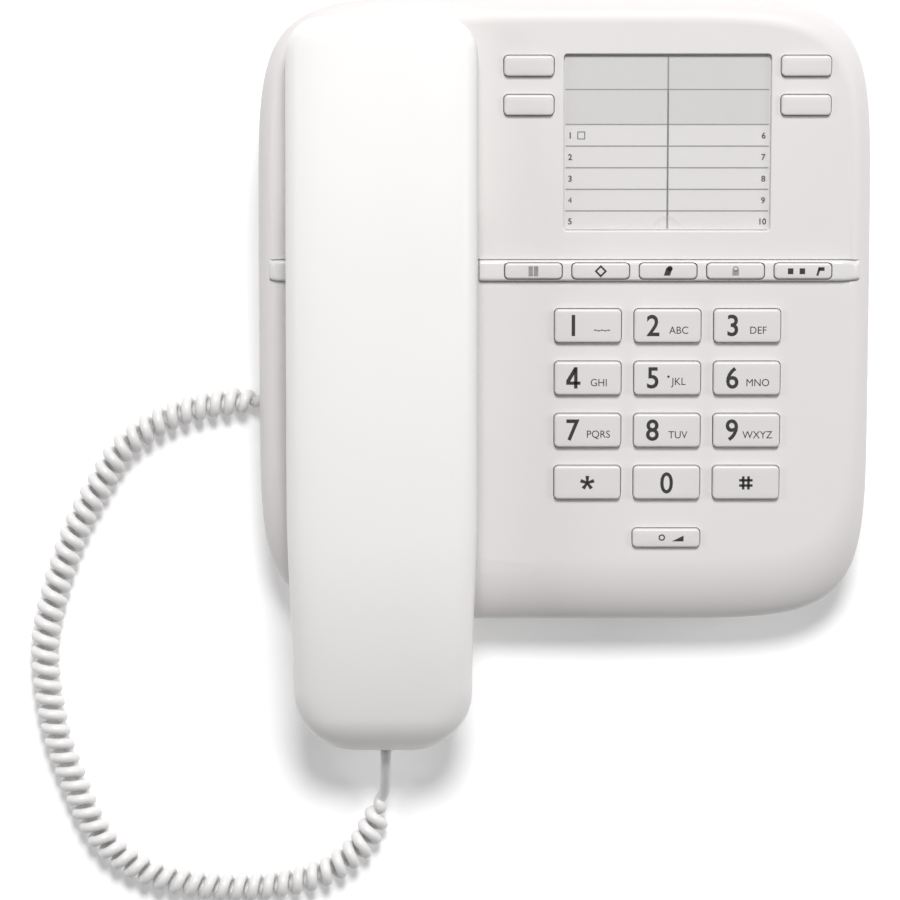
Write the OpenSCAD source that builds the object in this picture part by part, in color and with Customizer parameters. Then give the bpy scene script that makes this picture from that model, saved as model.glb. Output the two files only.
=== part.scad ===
// Corded desk telephone: a sloping base with a keypad, a lift-off handset and a curly handset cord.
// Frame: origin under the middle of the telephone, on the table. +X right, +Y to the rear, +Z up.

/* [Base housing] */
// Width of the base
base_w = 168; // [164:1:172]
// Depth of the base, front to rear
base_d = 170.5; // [169:0.5:172]
// Height of the face's plane above the table at the front edge
face_front_z = 23; // [22:0.5:24]
// Slope of the face, rising to the rear, in degrees
face_tilt = 8.5; // [8:0.25:9]
// Height of the seam between the two housing shells
seam_z = 13; // [12.5:0.25:13.5]
// Thickness of the housing walls
wall = 2.5; // [2.2:0.1:2.8]
// Squareness of the plan outline: 2 is an ellipse, 10 is nearly a rectangle
outline_power = 6.7; // [5:0.1:8]

/* [Handset] */
// Length of the handset in plan
handset_l = 200; // [197:0.5:200.5]
// Width of the handset
handset_w = 52; // [51:0.25:52.5]
// Distance by which the mouthpiece reaches past the front of the base
handset_overhang = 36.3; // [35.5:0.1:37]
// Place of the handset's middle line across the base
handset_x = -49.8; // [-50:0.1:-49.5]
// Thickness of the handset's walls
handset_wall = 2.2; // [2:0.1:2.4]

/* [Keys] */
// Width of a dial key
dial_key_w = 18.3; // [17:0.1:18.5]
// Height of a dial key in plan
dial_key_h = 9.2; // [8:0.1:9.6]
// Distance between columns of dial keys
dial_pitch_x = 21.8; // [21:0.1:22]
// Distance between rows of dial keys
dial_pitch_y = 14.3; // [13.5:0.1:14.5]
// Height of a dial key above the face
dial_key_rise = 1.6; // [1:0.1:2]
// Gap between a key and the edge of its hole
key_gap = 0.35; // [0.3:0.05:0.45]
// How far a key goes down
key_travel = 1.2; // [1:0.1:1.4]

/* [Curly cord] */
// Outer diameter of the coiled stretch
coil_d = 8.3; // [7:0.1:9]
// Diameter of the straight leads at the ends of the coil
lead_d = 3.4; // [3:0.1:4]

/* [Hidden] */

// Colours
white = [0.91, 0.90, 0.89];
key_white = [0.93, 0.92, 0.91];
rubber_grey = [0.25, 0.25, 0.26];
silicone = [0.72, 0.75, 0.78];
board_green = [0.13, 0.36, 0.22];
part_black = [0.12, 0.12, 0.13];
metal = [0.72, 0.72, 0.70];
paper = [0.88, 0.88, 0.87];
clear = [0.92, 0.95, 0.96, 0.4];
copper = [0.72, 0.45, 0.25];

// Outline of the whole telephone along Y, balanced about the origin
total_l = base_d + handset_overhang;
base_front = handset_overhang - total_l / 2;
base_rear = total_l / 2;
handset_front = -total_l / 2;
handset_rear = handset_front + handset_l;
rise = tan(face_tilt);
big = 400;
eps = 0.01;
fit = 0.3;

// Rounding of the face's edge: width at the sides, front and rear, and the drop that all share
side_round = 6;
front_round = 17;
rear_round = 8;
edge_drop = 9;
ring_points = 64;

// Lower shell: its bottom, how far its walls stand in, and its floor
foot_h = 2.5;
bottom_inset = 8;
bottom_round = 2;
seam_inset = 0.8;

// Cradle, which the handset's edges cover: its half width, rear end, floor and ear well
cradle_half = handset_w / 2 - 0.7;
cradle_rear = handset_rear - 1;
cradle_drop = 8;
well_front = 44;
well_drop = 10.8;

// Depths below the face, along its normal, of what lies under the keys
flange_top = -wall - 0.3;
flange_bottom = flange_top - 1.1;
flange_rim = 0.8;
dome_top = flange_bottom - key_travel - 0.2;
mat_top = dome_top - 1;
board_top = mat_top - 0.8;
board_t = 1.6;
board_bottom = board_top - board_t;

// Places of the keys in plan
dial_x = 28.2;
dial_y = 13.9;
volume_y = -44.3;
volume_w = 18.6;
volume_h = 5.2;
function_x = 28.2;
function_y = 28.9;
function_pitch = 18.4;
function_w = 15.7;
function_h = 4.4;
function_rise = 2.1;
bar_rise = 1.5;
bar_h = 6;
bar_groove = 1;
bar_half = 81;
memory_xs = [-9.9, 65.4];
memory_ys = [84.1, 73.6];
memory_w = 13.6;
memory_h = 5.6;
memory_rise = 1.4;

// Index card and its window
card_x = 27.8;
card_y = 63.4;
card_w = 56.4;
card_h = 48.2;
recess_depth = 1.7;
card_t = 0.3;
window_top = 0.1;

// Circuit board in plan
board_x = [-18, 64];
board_y = [-51, 88];
board_ear_x = 72.5;
board_ear_y = 66;
board_post_xs = [-12.5, 59.5];
board_post_ys = [-48, 57];

// Housing screws in plan
boss_places = [[-70, -40], [-70, 76], [70, -40], [70, 52]];
boss_r = 3.6;
screw_r = 1.4;
screw_head_r = 2.7;

// Hook plunger
plunger_y = 54;
plunger_w = 9;
plunger_d = 6;
spring_r = 2.4;

// Modular plugs and jacks
plug_w = 7.6;
plug_h = 6.2;
jack_gap = 0.2;
base_plug_y = -6.2;
base_plug_z = 8.2;
base_plug_x = -78;
base_plug_l = 15;
base_jack_face = -73;
handset_plug_z = 15;
handset_plug_y = handset_front;
handset_plug_l = 16;
handset_jack_face = handset_front + 8;
cord_x = -49.2;
line_jack_x = 45;
line_plug_w = 9.8;
line_plug_h = 6.8;

// Wall-mounting keyholes in the underside, and the ringer behind its slots
keyhole_ys = [-13.3, 70];
keyhole_head_r = 4.8;
keyhole_neck_r = 2.4;
keyhole_run = 9;
ringer_x = 40;
ringer_y = -15;
ringer_r = 13.5;

// Earpiece and microphone
ear_y = 72;
mic_y = -79.5;
ear_floor = -7.2;
mic_floor = -9.6;

// Route of the curly cord's coiled stretch, from the handset to the base
coil_route = [
    [-51, -118.5, 4.8], [-52.5, -124, 4.3], [-55.5, -130, 4.2], [-60, -134.5, 4.2], [-66, -138.5, 4.2],
    [-74, -141, 4.2], [-83, -142.5, 4.2], [-93, -143, 4.2], [-103, -142, 4.2], [-112.5, -140, 4.2],
    [-120.5, -136.5, 4.2], [-127.5, -131, 4.2], [-132.5, -123.5, 4.2], [-137.5, -112, 4.2], [-141.5, -101, 4.2],
    [-144, -89, 4.2], [-145, -79, 4.2], [-144.5, -70, 4.2], [-142, -59, 4.2], [-138.5, -48, 4.2],
    [-134.5, -38.5, 4.2], [-129.5, -29.5, 4.2], [-124, -20.5, 4.2], [-117.5, -15, 4.2], [-109.5, -10.5, 4.2],
    [-99.5, -7.5, 4.2], [-91, -6.3, 4.3], [-84.5, -6.2, 4.8]
];
// Route of the lead between the handset's plug and the coil, and of the one into the base
handset_lead_route = [
    [-49.2, -103.5, 15], [-49.2, -106.5, 15], [-49.2, -110.5, 12.6],
    [-49.4, -114, 8.6], [-50, -116.5, 6], [-51, -118.5, 4.8]
];
base_lead_route = [[-84.5, -6.2, 4.8], [-82.5, -6.2, 5.8], [-80.5, -6.2, 7.6], [-78.1, -6.2, 8.2]];
// Route of the wires inside the handset
wire_route = [
    [-56, -83, 20], [-60, -75, 27], [-61, -60, 34.5], [-61, -30, 38.5], [-61, 0, 43], [-61, 30, 47.5],
    [-59, 50, 50], [-54, 60, 49], [-50, 66, 47.2]
];
wire_d = 1.8;

// ---- Shared forms ----

function face_z(y) = face_front_z + (y - base_front) * rise;

module on_face(x, y, n = 0) {
    translate([x, y, face_z(y)]) rotate([face_tilt, 0, 0]) translate([0, 0, n]) children();
}

// A rectangle with round corners, centred
function rounded(w, h, r, steps = 5) = [
    for (corner = [0 : 3], step = [0 : steps])
        let (a = 90 * (corner + step / steps), sx = [1, -1, -1, 1][corner], sy = [1, 1, -1, -1][corner])
            [sx * (w / 2 - r) + r * cos(a), sy * (h / 2 - r) + r * sin(a)]
];

module plate(w, h, r, z0, z1) {
    translate([0, 0, z0]) linear_extrude(z1 - z0) polygon(rounded(w, h, r));
}

module block(x, y, z) {
    translate([x[0], y[0], z[0]]) cube([x[1] - x[0], y[1] - y[0], z[1] - z[0]]);
}

function signed_power(v, p) = sign(v) * pow(abs(v), p);

// A closed solid through rings that all have the same number of points
module skin(rings) {
    n = len(rings[0]);
    last = (len(rings) - 1) * n;
    polyhedron(
        points = [for (ring = rings) each ring],
        faces = concat(
            [for (i = [1 : n - 2]) [0, i, i + 1]],
            [for (i = [1 : n - 2]) [last, last + i + 1, last + i]],
            [for (k = [0 : n : last - n], i = [0 : n - 1]) let (j = (i + 1) % n) [k + i, k + n + i, k + j]],
            [for (k = [0 : n : last - n], i = [0 : n - 1]) let (j = (i + 1) % n) [k + j, k + n + i, k + n + j]]
        )
    );
}

// The base's plan outline, set in by these distances at the sides, front and rear
function outline(side, front, rear) =
    let (a = base_w / 2 - side, b = (base_d - front - rear) / 2, y = (base_front + front + base_rear - rear) / 2)
    [for (i = [0 : ring_points - 1]) let (t = 360 * i / ring_points)
        [a * signed_power(cos(t), 2 / outline_power), y + b * signed_power(sin(t), 2 / outline_power)]];

function level_ring(inset, z) = [for (p = outline(inset, inset, inset)) [p.x, p.y, z]];

function face_ring(inset, a) =
    let (out = 1 - cos(a))
    [for (p = outline(inset + side_round * out, inset + front_round * out, inset + rear_round * out))
        [p.x, p.y, face_z(p.y) - inset - edge_drop * (1 - sin(a))]];

module upper_form(inset, bottom) {
    skin(concat([level_ring(inset, bottom)], [for (a = [0 : 15 : 90]) face_ring(inset, a)]));
}

// The space above the cradle's floor, grown by this much
module cradle_space(grow) {
    front = -total_l;
    intersection() {
        translate([handset_x, (front + cradle_rear) / 2, 0])
            linear_extrude(big) polygon(rounded(2 * (cradle_half + grow), cradle_rear - front + 2 * grow, 9 + grow));
        translate([handset_x - big / 2, 0, 0]) rotate([90, 0, 90]) linear_extrude(big) polygon([
            [front, face_z(front) - cradle_drop - grow],
            [well_front - grow, face_z(well_front - grow) - cradle_drop - grow],
            [well_front - grow, face_z(well_front - grow) - well_drop - grow],
            [base_rear, face_z(base_rear) - well_drop - grow],
            [base_rear, big],
            [front, big]
        ]);
    }
}

// Children at every dial key's place, column and row from the top left
module each_dial_key() {
    for (column = [-1 : 1], row = [0 : 3])
        on_face(dial_x + column * dial_pitch_x, dial_y - row * dial_pitch_y) children();
}

module each_function_key() {
    for (i = [-2 : 2]) on_face(function_x + i * function_pitch, function_y) children();
}

module each_memory_key() {
    for (x = memory_xs, y = memory_ys) on_face(x, y) children();
}

module each_board_post() {
    for (x = board_post_xs, y = board_post_ys) on_face(x, y) children();
}

module hole(w, h) {
    plate(w + 2 * key_gap, h + 2 * key_gap, 1.2 + key_gap, -2 * wall, 2 * wall);
}

module key_cap(w, h, top) {
    color(key_white) union() {
        plate(w, h, 1.2, flange_bottom + 0.4, top - 0.5);
        plate(w - 0.8, h - 0.8, 0.9, top - 0.6, top);
        plate(w + 2 * flange_rim, h + 2 * flange_rim, 1.6, flange_bottom, flange_top);
        plate(w / 2, h / 2, 0.8, flange_bottom - 0.1, flange_bottom + 0.4);
    }
}

// ---- Base ----

module upper_shell() {
    color(white) difference() {
        upper_form(0, seam_z);
        difference() {
            upper_form(wall, seam_z - 4);
            cradle_space(wall);
            for (p = boss_places) translate([p.x, p.y, seam_z]) cylinder(r = boss_r, h = big, $fn = 32);
            each_board_post() translate([0, 0, board_top]) cylinder(r = 2.4, h = 20, $fn = 32);
        }
        cradle_space(0);
        for (p = boss_places) translate([p.x, p.y, seam_z - 1]) cylinder(r = screw_r + 0.05, h = 5.5, $fn = 32);
        each_board_post() translate([0, 0, board_top - 1]) cylinder(r = 1.05, h = 5, $fn = 32);
        each_dial_key() hole(dial_key_w, dial_key_h);
        each_function_key() hole(function_w, function_h);
        each_memory_key() {
            hole(memory_w, memory_h);
            plate(memory_w + 2.5, memory_h + 2.5, 1.8, 2 * flange_bottom, -wall);
        }
        on_face(dial_x, volume_y) hole(volume_w, volume_h);
        on_face(card_x, card_y) plate(card_w, card_h, 1, -recess_depth, wall);
        on_face(0, function_y) block([-bar_half, bar_half], [-bar_h / 2, bar_h / 2], [-bar_groove, wall]);
        translate([handset_x, plunger_y, 0])
            linear_extrude(big) square([plunger_w + 2 * fit, plunger_d + 2 * fit], center = true);
    }
}

module lower_shell() {
    color(white) difference() {
        lower_form(0, foot_h);
        difference() {
            lower_form(wall, foot_h + wall);
            for (p = boss_places) translate([p.x, p.y, foot_h]) cylinder(r = boss_r + 1, h = big, $fn = 32);
            block([-big, base_jack_face + wall], [base_plug_y - 9.5, base_plug_y + 9.5], [0, big]);
            translate([handset_x, plunger_y, 0]) cylinder(r = spring_r + 1.4, h = foot_h + wall + 3, $fn = 32);
        }
        block([-big, base_jack_face], [base_plug_y - 7, base_plug_y + 7], [-1, seam_z - 1]);
        block([-big, base_jack_face + wall + 1], [base_plug_y - 4.2, base_plug_y + 4.2], [4.6, 11.8]);
        block([line_jack_x - 5.4, line_jack_x + 5.4], [base_rear - 11, big], [5.1, seam_z + 1]);
        for (p = boss_places) translate([p.x, p.y, -1]) {
            cylinder(r = screw_head_r + fit, h = 7.5, $fn = 32);
            cylinder(r = screw_r + fit, h = big, $fn = 32);
        }
        for (y = keyhole_ys) translate([0, y, -1]) {
            cylinder(r = keyhole_head_r, h = 10, $fn = 32);
            block([-keyhole_neck_r, keyhole_neck_r], [0, keyhole_run], [0, 10]);
            translate([0, keyhole_run, 0]) cylinder(r = keyhole_neck_r, h = 10, $fn = 32);
        }
        for (i = [-2 : 2]) translate([ringer_x, ringer_y + 3.5 * i, 0]) cube([14, 1.6, 20], center = true);
        translate([handset_x, plunger_y, foot_h + wall]) cylinder(r = spring_r + 0.4, h = 10, $fn = 32);
    }
}

module lower_form(inset, bottom) {
    corner = inset > 0 ? 1 : bottom_round;
    top = inset > 0 ? seam_z + 1 : seam_z;
    skin([
        level_ring(bottom_inset + inset, bottom),
        level_ring(bottom_inset + inset - 2.4, bottom + corner),
        level_ring(seam_inset + inset, top)
    ]);
}

module rubber_feet() {
    color(rubber_grey) for (x = [-60, 60], y = [-42, 78])
        translate([x, y, 0]) cylinder(r = 6.5, h = foot_h, $fn = 48);
}

module housing_screws() {
    color(metal) for (p = boss_places) translate([p.x, p.y, 0]) difference() {
        union() {
            translate([0, 0, 4.4]) cylinder(r = screw_head_r, h = 2.1, $fn = 32);
            translate([0, 0, 6.4]) cylinder(r = screw_r, h = 10.8, $fn = 32);
        }
        for (a = [0, 90]) translate([0, 0, 4.4]) rotate(a) cube([3, 0.7, 1.6], center = true);
    }
}

module main_board() {
    color(board_green) difference() {
        on_face(0, 0) {
            block(board_x, board_y, [board_bottom, board_top]);
            block([board_x[1] - 1, board_ear_x], [board_ear_y, board_y[1]], [board_bottom, board_top]);
        }
        each_board_post() cylinder(r = 1.3, h = 40, center = true, $fn = 32);
    }
}

module board_parts() {
    color(part_black) on_face(0, 0) translate([0, 0, board_bottom]) {
        block([10, 22], [-20, 0], [-2.2, 0]);
        block([34, 42], [-16, -8], [-1.8, 0]);
        block([-12, 4], [20, 36], [-11, 0]);
        block([30, 50], [40, 56], [-6, 0]);
        for (x = [12, 24, 62], y = [26, 48]) translate([x, y, -9]) cylinder(r = 3.2, h = 9, $fn = 32);
        for (x = [-10, 0, 56, 64], y = [-36, 8]) block([x, x + 2.4], [y, y + 5], [-1.4, 0]);
        block([-14, 0], [62, 72], [-8, 0]);
    }
}

module board_screws() {
    color(metal) each_board_post() {
        translate([0, 0, board_bottom - 1.4]) cylinder(r = 2.1, h = 1.4, $fn = 32);
        translate([0, 0, board_bottom - 0.4]) cylinder(r = 1, h = board_t + 3.4, $fn = 32);
    }
}

module dome() {
    translate([0, 0, mat_top - eps]) cylinder(r1 = 3.2, r2 = 2, h = dome_top - mat_top, $fn = 32);
}

module keypad_mat() {
    color(silicone) union() {
        difference() {
            on_face(dial_x, 0) block([-46, 46], [-50.5, 34], [board_top, mat_top]);
            each_board_post() cylinder(r = 2.7, h = 40, center = true, $fn = 32);
            translate([boss_places[2].x, boss_places[2].y, 0]) cylinder(r = boss_r + fit, h = big, $fn = 32);
        }
        each_dial_key() dome();
        each_function_key() dome();
        on_face(dial_x, volume_y) dome();
    }
}

module memory_mats() {
    color(silicone) {
        for (x = memory_xs) on_face(x, (memory_ys[0] + memory_ys[1]) / 2)
            plate(14, 18, 2, board_top, mat_top);
        each_memory_key() dome();
    }
}

module index_card() {
    color(paper) on_face(card_x, card_y)
        plate(card_w - 0.6, card_h - 0.6, 0.7, -recess_depth, card_t - recess_depth);
}

module index_window() {
    color(clear) on_face(card_x, card_y) difference() {
        plate(card_w - 0.4, card_h - 0.4, 0.8, 0.05 + card_t - recess_depth, window_top);
        translate([0, -card_h / 2, 0]) cylinder(r = 4, h = 1, center = true, $fn = 48);
    }
}

// The bar crosses the face on both sides of the cradle and follows the rounded edges down
module function_bar() {
    y = [fit / 2 - bar_h / 2, bar_h / 2 - fit / 2];
    z = [-bar_groove, bar_rise];
    color(white) difference() {
        intersection() {
            on_face(0, function_y) {
                block([handset_x + cradle_half + fit, bar_half - fit], y, z);
                block([fit - bar_half, handset_x - cradle_half - fit], y, z);
            }
            upper_form(-bar_rise, seam_z);
        }
        each_function_key() plate(function_w + 2 * key_gap, function_h + 2 * key_gap, 1.2, -wall, 2 * wall);
    }
}

// ---- Keys ----

module dial_key(column, row) {
    on_face(dial_x + column * dial_pitch_x, dial_y - row * dial_pitch_y)
        key_cap(dial_key_w, dial_key_h, dial_key_rise);
}

module function_key(i) {
    on_face(function_x + (i - 3) * function_pitch, function_y) key_cap(function_w, function_h, function_rise);
}

module memory_key(column, row) {
    on_face(memory_xs[column], memory_ys[row]) key_cap(memory_w, memory_h, memory_rise);
}

module volume_key() {
    on_face(dial_x, volume_y) key_cap(volume_w, volume_h, memory_rise);
}

// ---- Hook switch ----

plunger_top = face_z(plunger_y) - 11;
flange_z = plunger_top - 11;

module hook_plunger() {
    color(key_white) translate([handset_x, plunger_y, 0]) {
        block([-plunger_w / 2, plunger_w / 2], [-plunger_d / 2, plunger_d / 2], [flange_z, plunger_top]);
        block([-plunger_w / 2 - 1.5, plunger_w / 2 + 1.5], [-plunger_d / 2 - 1, plunger_d / 2 + 1],
            [flange_z - 1.5, flange_z]);
        block([plunger_w / 2, plunger_w / 2 + 4], [-1.5, 1.5], [flange_z - 1.5, flange_z]);
    }
}

module hook_spring() {
    color(metal) translate([handset_x, plunger_y, foot_h + wall]) difference() {
        cylinder(r = spring_r, h = flange_z - 1.5 - foot_h - wall, $fn = 32);
        translate([0, 0, -1]) cylinder(r = spring_r - 0.6, h = big, $fn = 32);
    }
}

module hook_switch() {
    color(part_black) translate([handset_x + plunger_w / 2 + 9.5, plunger_y, 0]) {
        block([-4, 4], [-5, 5], [foot_h + wall, flange_z - 3.2]);
        block([-6.5, -3.5], [-1.2, 1.2], [flange_z - 4.4, flange_z - 3.6]);
    }
}

// ---- Jacks and ringer ----

module base_jack() {
    color(part_black) difference() {
        block([base_jack_face + wall, base_jack_face + wall + 12], [base_plug_y - 6, base_plug_y + 6],
            [foot_h + wall, seam_z - 0.2]);
        block([-big, base_jack_face + wall + 10.5],
            [base_plug_y - plug_w / 2 - jack_gap, base_plug_y + plug_w / 2 + jack_gap],
            [base_plug_z - plug_h / 2 - jack_gap, base_plug_z + plug_h / 2 + jack_gap]);
    }
}

module line_jack() {
    color(part_black) difference() {
        block([line_jack_x - 7, line_jack_x + 7], [base_rear - 22, base_rear - 11.4],
            [foot_h + wall, seam_z + 0.4]);
        block([line_jack_x - line_plug_w / 2, line_jack_x + line_plug_w / 2],
            [base_rear - 20.5, big], [5.4, 5.4 + line_plug_h]);
    }
}

module ringer() {
    color(part_black) translate([ringer_x, ringer_y, foot_h + wall]) difference() {
        cylinder(r = ringer_r, h = 5, $fn = 64);
        translate([0, 0, -1]) cylinder(r = ringer_r - 2, h = 3, $fn = 64);
    }
}

// ---- Handset ----

ear_blend = [38, 50];
mouth_blend = [-71.5, -61.5];
handle_gap = 5;
ear_depth = 10;
mouth_depth = 12;
mouth_taper = 1.4;
mouth_corner = 17;
ear_corner = 10;

function smooth(a, b, v) = let (t = min(1, max(0, (v - a) / (b - a)))) t * t * (3 - 2 * t);

// The handset's back is a long arc, and its underside drops at the ear cup and the mouth cup
mouth_bend = -45;
function back_z(y) = 57 + 0.12 * y - 0.0007 * y * y - 0.0022 * pow(max(0, mouth_bend - y), 2);
function underside_z(y) = face_z(y) + handle_gap
    - (handle_gap + ear_depth) * smooth(ear_blend[0], ear_blend[1], y)
    - (handle_gap + mouth_depth) * (1 - smooth(mouth_blend[0], mouth_blend[1], y));

// How far a round of radius r has fallen at distance d from the end that it starts at
function fall(d, r) = d >= r ? 0 : r - sqrt(max(0, r * r - (r - d) * (r - d)));
function end_fall(y, inset, front_r, rear_r) =
    fall(y - handset_front - inset, front_r - inset) + fall(handset_rear - inset - y, rear_r - inset);

// Below the face's plane the handset is narrower and shorter, so that it fits in the cradle
tuck_side = 0.057;
tuck_rear = 1.9;
function tucked(p) =
    let (k = 1 - smooth(1.2, handle_gap, p.z - face_z(p.y)))
    [
        handset_x + (p.x - handset_x) * (1 - tuck_side * k),
        p.y - tuck_rear * k * smooth(75, handset_rear, p.y),
        p.z
    ];

// The section is widest at its waist, below the seam, and squarish above and below it
waist_drop = 11.5;
handset_ring_points = 32;
function handset_ring(y, inset) =
    let (
        half = handset_w / 2 - inset - mouth_taper * (1 - smooth(-85, -35, y))
            - end_fall(y, inset, mouth_corner, ear_corner),
        top = back_z(y) - inset - end_fall(y, inset, 9, 6),
        low = underside_z(y) + inset + end_fall(y, inset, 4, 4),
        waist = back_z(y) - waist_drop
    )
    [for (i = [0 : handset_ring_points - 1])
        let (t = -360 * i / handset_ring_points, p = 2 / 4.5, reach = sin(t) > 0 ? top - waist : waist - low)
            tucked([
                handset_x + half * signed_power(cos(t), p),
                y,
                waist + reach * signed_power(sin(t), p)
            ])];

function handset_stations(inset) = concat(
    [for (a = [0, 20, 40, 60, 80]) handset_front + inset + (mouth_corner - inset) * (1 - cos(a))],
    [-84, -77, -72, -69.5, -67, -64.5, -62, -50, -35, -20, -5, 10, 25, 38, 41, 44, 47, 50, 60, 70, 80],
    [for (a = [80, 55, 30, 0]) handset_rear - inset - (ear_corner - inset) * (1 - cos(a))]
);

module handset_form(inset) {
    skin([for (y = handset_stations(inset)) handset_ring(y, inset)]);
}

split_drop = 10.5;

module above_split(gap = 0) {
    translate([handset_x - big / 2, 0, 0]) rotate([90, 0, 90]) linear_extrude(big) polygon(concat(
        [for (y = [-110 : 15 : 100]) [y, back_z(y) - split_drop + gap]],
        [[100, big], [-110, big]]
    ));
}

handset_screw_xs = [handset_x - 14, handset_x + 14];
handset_screw_y = -80;
handset_screw_z = 17;

module handset_outer_shell() {
    color(white) difference() {
        intersection() {
            handset_form(0);
            above_split();
        }
        difference() {
            handset_form(handset_wall);
            for (x = handset_screw_xs) translate([x, handset_screw_y, 0]) cylinder(r = 3.2, h = big, $fn = 32);
        }
        for (x = handset_screw_xs) translate([x, handset_screw_y, 0])
            cylinder(r = screw_r + 0.05, h = back_z(handset_screw_y) - 4, $fn = 32);
    }
}

module handset_inner_shell() {
    color(white) difference() {
        handset_form(0);
        above_split();
        difference() {
            handset_form(handset_wall);
            for (x = handset_screw_xs) translate([x, handset_screw_y, 0]) cylinder(r = 4, h = big, $fn = 32);
        }
        for (x = handset_screw_xs) translate([x, handset_screw_y, 0]) {
            cylinder(r = screw_head_r + fit, h = handset_screw_z, $fn = 32);
            cylinder(r = screw_r + fit, h = big, $fn = 32);
        }
        block([cord_x - 4.2, cord_x + 4.2], [handset_front - 1, handset_front + 4],
            [handset_plug_z - 3.6, handset_plug_z + 3.6]);
        on_face(handset_x, ear_y) for (r = [0, 4.5, 9], a = [0 : 360 / max(1, r / 0.75) : 359])
            rotate(a) translate([r, 0, -12]) cylinder(r = 0.9, h = 6, $fn = 24);
        on_face(handset_x, mic_y) for (x = [-3, 0, 3]) translate([x, 0, -14]) cylinder(r = 0.8, h = 6, $fn = 24);
    }
}

module ear_gasket() {
    color(part_black) on_face(handset_x, ear_y, ear_floor) difference() {
        cylinder(r = 14, h = 0.9, $fn = 64);
        translate([0, 0, -1]) cylinder(r = 11.5, h = 3, $fn = 64);
    }
}

module ear_speaker() {
    color(metal) on_face(handset_x, ear_y, ear_floor + 0.9) {
        cylinder(r = 14, h = 3, $fn = 64);
        translate([0, 0, 3]) cylinder(r = 9, h = 3.5, $fn = 64);
    }
}

module microphone() {
    color(metal) on_face(handset_x, mic_y, mic_floor + 0.8) cylinder(r = 4.8, h = 4.5, $fn = 48);
}

module microphone_boot() {
    color(rubber_grey) on_face(handset_x, mic_y, mic_floor) difference() {
        cylinder(r = 6, h = 6, $fn = 48);
        translate([0, 0, 0.75]) cylinder(r = 4.85, h = 10, $fn = 48);
        translate([0, 0, -1]) cylinder(r = 3.8, h = 10, $fn = 48);
    }
}

module ballast_bar() {
    color(metal) on_face(handset_x, -8, handle_gap + 2.8) block([-8, 8], [-32, 32], [0, 5]);
}

module handset_jack() {
    color(part_black) difference() {
        block([cord_x - 5.6, cord_x + 5.6], [handset_jack_face, handset_jack_face + 10],
            [handset_plug_z - 4.1, handset_plug_z + 4.1]);
        block([cord_x - plug_w / 2 - jack_gap, cord_x + plug_w / 2 + jack_gap],
            [-big, handset_jack_face + 8.8],
            [handset_plug_z - plug_h / 2 - jack_gap, handset_plug_z + plug_h / 2 + jack_gap]);
    }
}

module handset_wires() {
    color(copper) tube(wire_route, wire_d, 8);
}

module handset_screws() {
    color(metal) for (x = handset_screw_xs) translate([x, handset_screw_y, handset_screw_z]) {
        translate([0, 0, -1.8]) cylinder(r = screw_head_r, h = 1.8, $fn = 32);
        translate([0, 0, -0.2]) cylinder(r = screw_r, h = 14, $fn = 32);
    }
}

// ---- Curly cord ----

function unit(v) = v / norm(v);

// Direction of a route at its point i
function heading(route, i) = unit(route[min(i + 1, len(route) - 1)] - route[max(i - 1, 0)]);

// A tube swept along a route, with a ring of sides points at each of its points
module tube(route, d, sides) {
    skin([for (i = [0 : len(route) - 1])
        let (along = heading(route, i), across = unit(cross(along, [0, 0, 1])), up = cross(across, along))
            [for (k = [0 : sides - 1]) let (a = 360 * k / sides)
                route[i] + d / 2 * (cos(a) * across + sin(a) * up)]]);
}

module cord_coil() {
    color(white) tube(coil_route, coil_d, 10);
}

module cord_lead_handset() {
    color(white) tube(handset_lead_route, lead_d, 8);
}

module cord_lead_base() {
    color(white) tube(base_lead_route, lead_d, 8);
}

// A modular plug, its cable end at the origin and its nose along +X
module modular_plug(length) {
    color(clear) {
        block([0, length], [-plug_w / 2, plug_w / 2], [-plug_h / 2, plug_h / 2 - 1.2]);
        block([3, length], [-plug_w / 2, plug_w / 2], [plug_h / 2 - 1.3, plug_h / 2]);
    }
}

module plug_handset() {
    translate([cord_x, handset_plug_y, handset_plug_z]) rotate([180, 0, 90]) modular_plug(handset_plug_l);
}

module plug_base() {
    translate([base_plug_x, base_plug_y, base_plug_z]) rotate([180, 0, 0]) modular_plug(base_plug_l);
}

upper_shell();
lower_shell();
rubber_feet();
housing_screws();
main_board();
board_parts();
board_screws();
keypad_mat();
memory_mats();
index_card();
index_window();
function_bar();
dial_key(-1, 0);  // key_1
dial_key(0, 0);  // key_2
dial_key(1, 0);  // key_3
dial_key(-1, 1);  // key_4
dial_key(0, 1);  // key_5
dial_key(1, 1);  // key_6
dial_key(-1, 2);  // key_7
dial_key(0, 2);  // key_8
dial_key(1, 2);  // key_9
dial_key(-1, 3);  // key_star
dial_key(0, 3);  // key_0
dial_key(1, 3);  // key_hash
volume_key();
function_key(1);  // function_key_1
function_key(2);  // function_key_2
function_key(3);  // function_key_3
function_key(4);  // function_key_4
function_key(5);  // function_key_5
memory_key(0, 0);  // memory_key_1
memory_key(0, 1);  // memory_key_2
memory_key(1, 0);  // memory_key_3
memory_key(1, 1);  // memory_key_4
hook_plunger();
hook_spring();
hook_switch();
base_jack();
line_jack();
ringer();
handset_outer_shell();
handset_inner_shell();
ear_speaker();
ear_gasket();
microphone();
microphone_boot();
ballast_bar();
handset_jack();
handset_wires();
handset_screws();
plug_handset();
cord_lead_handset();
cord_coil();
cord_lead_base();
plug_base();
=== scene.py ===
"""A corded desk telephone: smooth shells, keys, labels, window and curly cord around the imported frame."""

import math

import bpy
import bmesh
from mathutils import Matrix, Vector


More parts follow.
